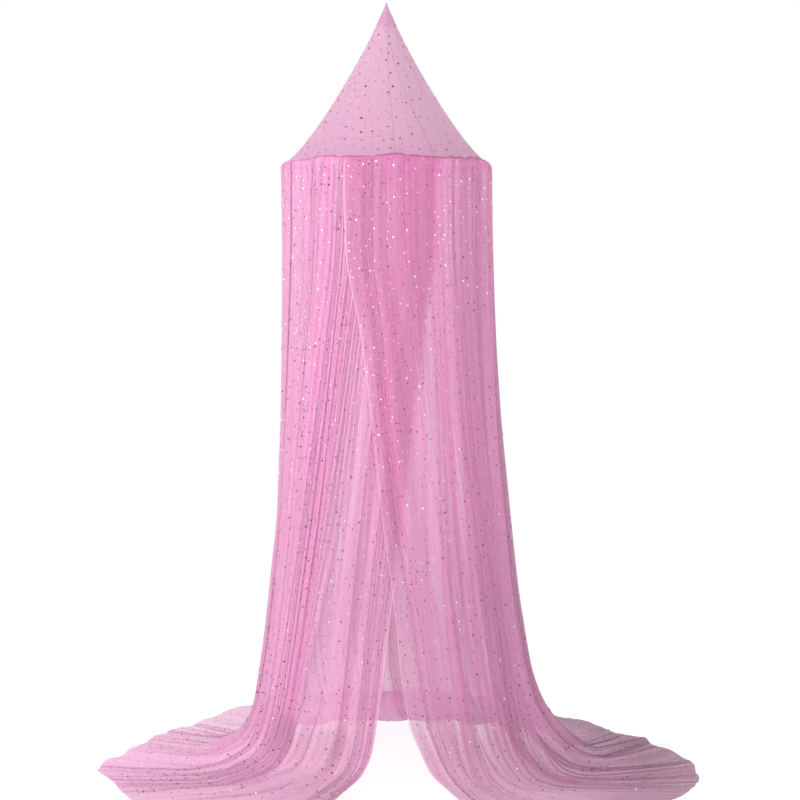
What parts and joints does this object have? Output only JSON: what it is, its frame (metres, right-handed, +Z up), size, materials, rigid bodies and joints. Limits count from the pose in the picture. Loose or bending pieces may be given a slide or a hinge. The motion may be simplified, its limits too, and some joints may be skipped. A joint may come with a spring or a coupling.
{
  "type": "mosquito net canopy with hoop",
  "caption": "Round hanging mosquito net: a pointed cone of net over a wire hoop, with a long gathered curtain that laps at the front and trails on the floor.",
  "frame": {"origin": "the point of the cone, where the canopy hangs from the ceiling", "axes": "+Z up along the hanging line; -Y towards the front, where the two free edges of the curtain lap; +X to the right of someone facing the front"},
  "size_m": [1.7214, 1.7433, 2.2098],
  "materials": {
    "cap_net": "two layers of sheer pink polyester net sewn together over the point",
    "crown_net": "sheer pink polyester net, smooth, one layer, with scattered silver foil dots",
    "hoop_wire": "plain white coated round wire",
    "seam_tape": "narrow woven tape, matt, deeper pink",
    "curtain_net": "sheer pink polyester net, densely gathered, with scattered silver foil dots"
  },
  "bodies": {
    "root": {"apex_cap": "cap_net", "crown": "crown_net", "hoop": "hoop_wire", "seam_tape": "seam_tape", "curtain": "curtain_net"}
  },
  "joints": []
}
